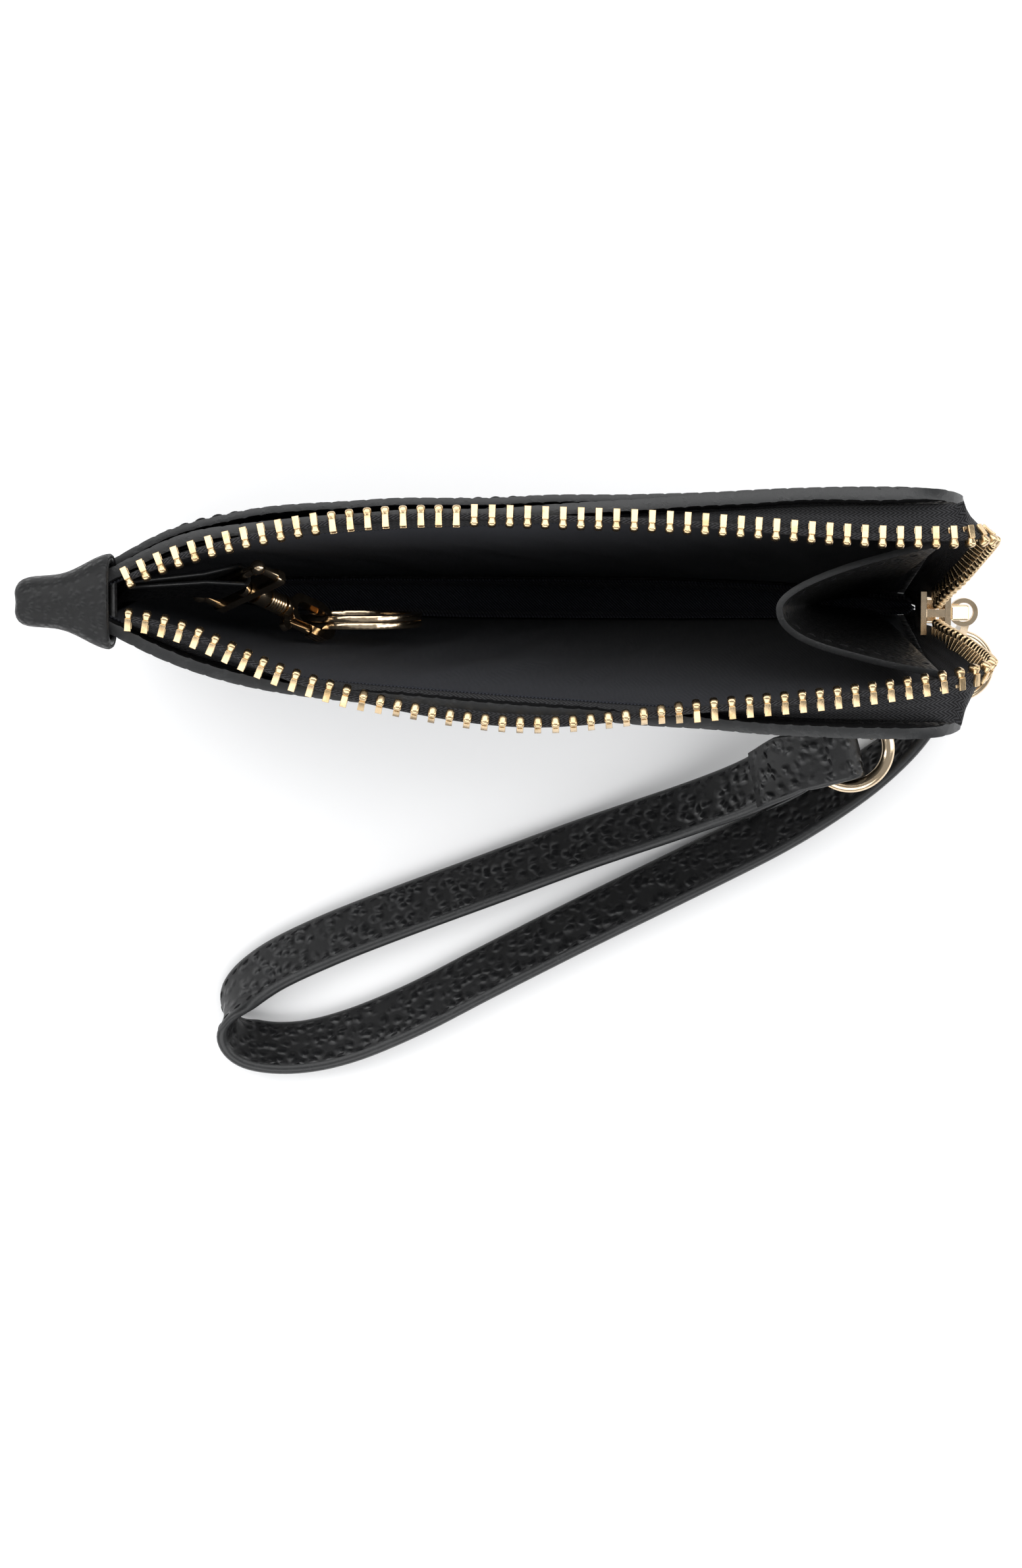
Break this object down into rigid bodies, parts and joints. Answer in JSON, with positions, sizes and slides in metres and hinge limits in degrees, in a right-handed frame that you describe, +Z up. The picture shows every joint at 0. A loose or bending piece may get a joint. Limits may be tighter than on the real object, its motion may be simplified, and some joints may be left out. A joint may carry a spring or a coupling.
{
  "type": "wristlet wallet",
  "caption": "Zip-top leather pouch standing open, with a slip pocket, a folding side gusset, an inner key clip and a leather wrist strap clipped to the zip pull.",
  "frame": {"origin": "middle of the flat base, on the surface that the pouch stands on", "axes": "+X along the pouch from the end tab to the zip corner, +Y to the back, +Z up"},
  "size_m": [0.1926, 0.1278, 0.1048],
  "materials": {
    "leather_panel": "soft pebbled, low sheen",
    "leather_edge": "painted edge",
    "lining_twill": "fine twill",
    "zip_tape": "herringbone tape",
    "pale_gold": "polished, lacquered",
    "strap_leather": "pebbled, edge painted"
  },
  "bodies": {
    "pouch": {"back_panel": "leather_panel", "front_panel": "leather_panel", "back_slip_pocket": "leather_panel", "base_panel": "leather_panel", "lining_back": "lining_twill", "lining_front": "lining_twill", "side_gusset": "leather_edge", "zip_teeth_back": "pale_gold", "zip_teeth_front": "pale_gold", "zip_tape_back": "zip_tape", "zip_tape_front": "zip_tape", "zip_bottom_stop": "pale_gold", "end_tab": "leather_panel", "key_tab": "strap_leather"},
    "slider": {"slider_body": "pale_gold", "slider_bridge": "pale_gold"},
    "link": {"pull_link": "pale_gold"},
    "ring": {"pull_ring": "pale_gold"},
    "clasp": {"clasp_hook": "pale_gold", "clasp_trigger_pin": "pale_gold", "clasp_swivel_pin": "pale_gold"},
    "trigger": {"clasp_trigger": "pale_gold"},
    "eye": {"clasp_eye": "pale_gold"},
    "strap": {"strap_outer": "strap_leather", "strap_inner": "strap_leather", "strap_fold": "strap_leather"},
    "key_swing_eye": {"key_eye": "pale_gold"},
    "key_hook": {"key_clip": "pale_gold", "key_spring": "pale_gold"},
    "key_thumb_bolt": {"key_bolt": "pale_gold"},
    "key_ring": {"split_ring": "pale_gold"}
  },
  "joints": [
    {"name": "zip_slide", "type": "slide", "parent": "pouch", "child": "slider", "axis": [0, 0, 1], "range_m": [0, 0.008]},
    {"name": "link_swing", "type": "hinge", "parent": "slider", "child": "link", "pos_m": [0.0878, -0.0019, 0.028], "axis": [0, 0, 1], "range_deg": [-4, 60]},
    {"name": "ring_swing", "type": "hinge", "parent": "link", "child": "ring", "pos_m": [0.0881, -0.0069, 0.019], "axis": [1, 0, 0], "range_deg": [-40, 0]},
    {"name": "clasp_swing", "type": "hinge", "parent": "ring", "child": "clasp", "pos_m": [0.0881, -0.0135, 0.019], "axis": [0, 0, 1], "range_deg": [-3, 25]},
    {"name": "clasp_gate", "type": "hinge", "parent": "clasp", "child": "trigger", "pos_m": [0.07796, -0.02131, 0.0215], "axis": [0.61, -0.7924, 0], "range_deg": [-20, 0], "stiffness_Nm_per_rad": 0.002},
    {"name": "eye_swivel", "type": "hinge", "parent": "clasp", "child": "eye", "pos_m": [0.0655, -0.0309, 0.019], "axis": [0.7924, 0.61, 0], "range_deg": [-15, 5]},
    {"name": "strap_swing", "type": "hinge", "parent": "eye", "child": "strap", "pos_m": [0.0655, -0.0309, 0.019], "axis": [0, 0, 1], "range_deg": [-15, 3]},
    {"name": "key_eye_swing", "type": "hinge", "parent": "pouch", "child": "key_swing_eye", "pos_m": [-0.0606, 0.0063, 0.0745], "axis": [0.7819, 0.3686, 0.5027], "range_deg": [0, 6]},
    {"name": "key_swivel", "type": "hinge", "parent": "key_swing_eye", "child": "key_hook", "pos_m": [-0.0606, 0.0063, 0.0745], "axis": [0.6143, -0.3316, -0.716], "range_deg": [-6, 10]},
    {"name": "key_bolt_slide", "type": "slide", "parent": "key_hook", "child": "key_thumb_bolt", "axis": [-0.6143, 0.3316, 0.716], "range_m": [0, 0.0028], "stiffness_N_per_m": 60, "deforming": ["key_spring"]},
    {"name": "key_ring_swing", "type": "hinge", "parent": "key_hook", "child": "key_ring", "pos_m": [-0.04432, -0.00249, 0.05553], "axis": [0, 1, 0], "range_deg": [-3, 10]}
  ]
}
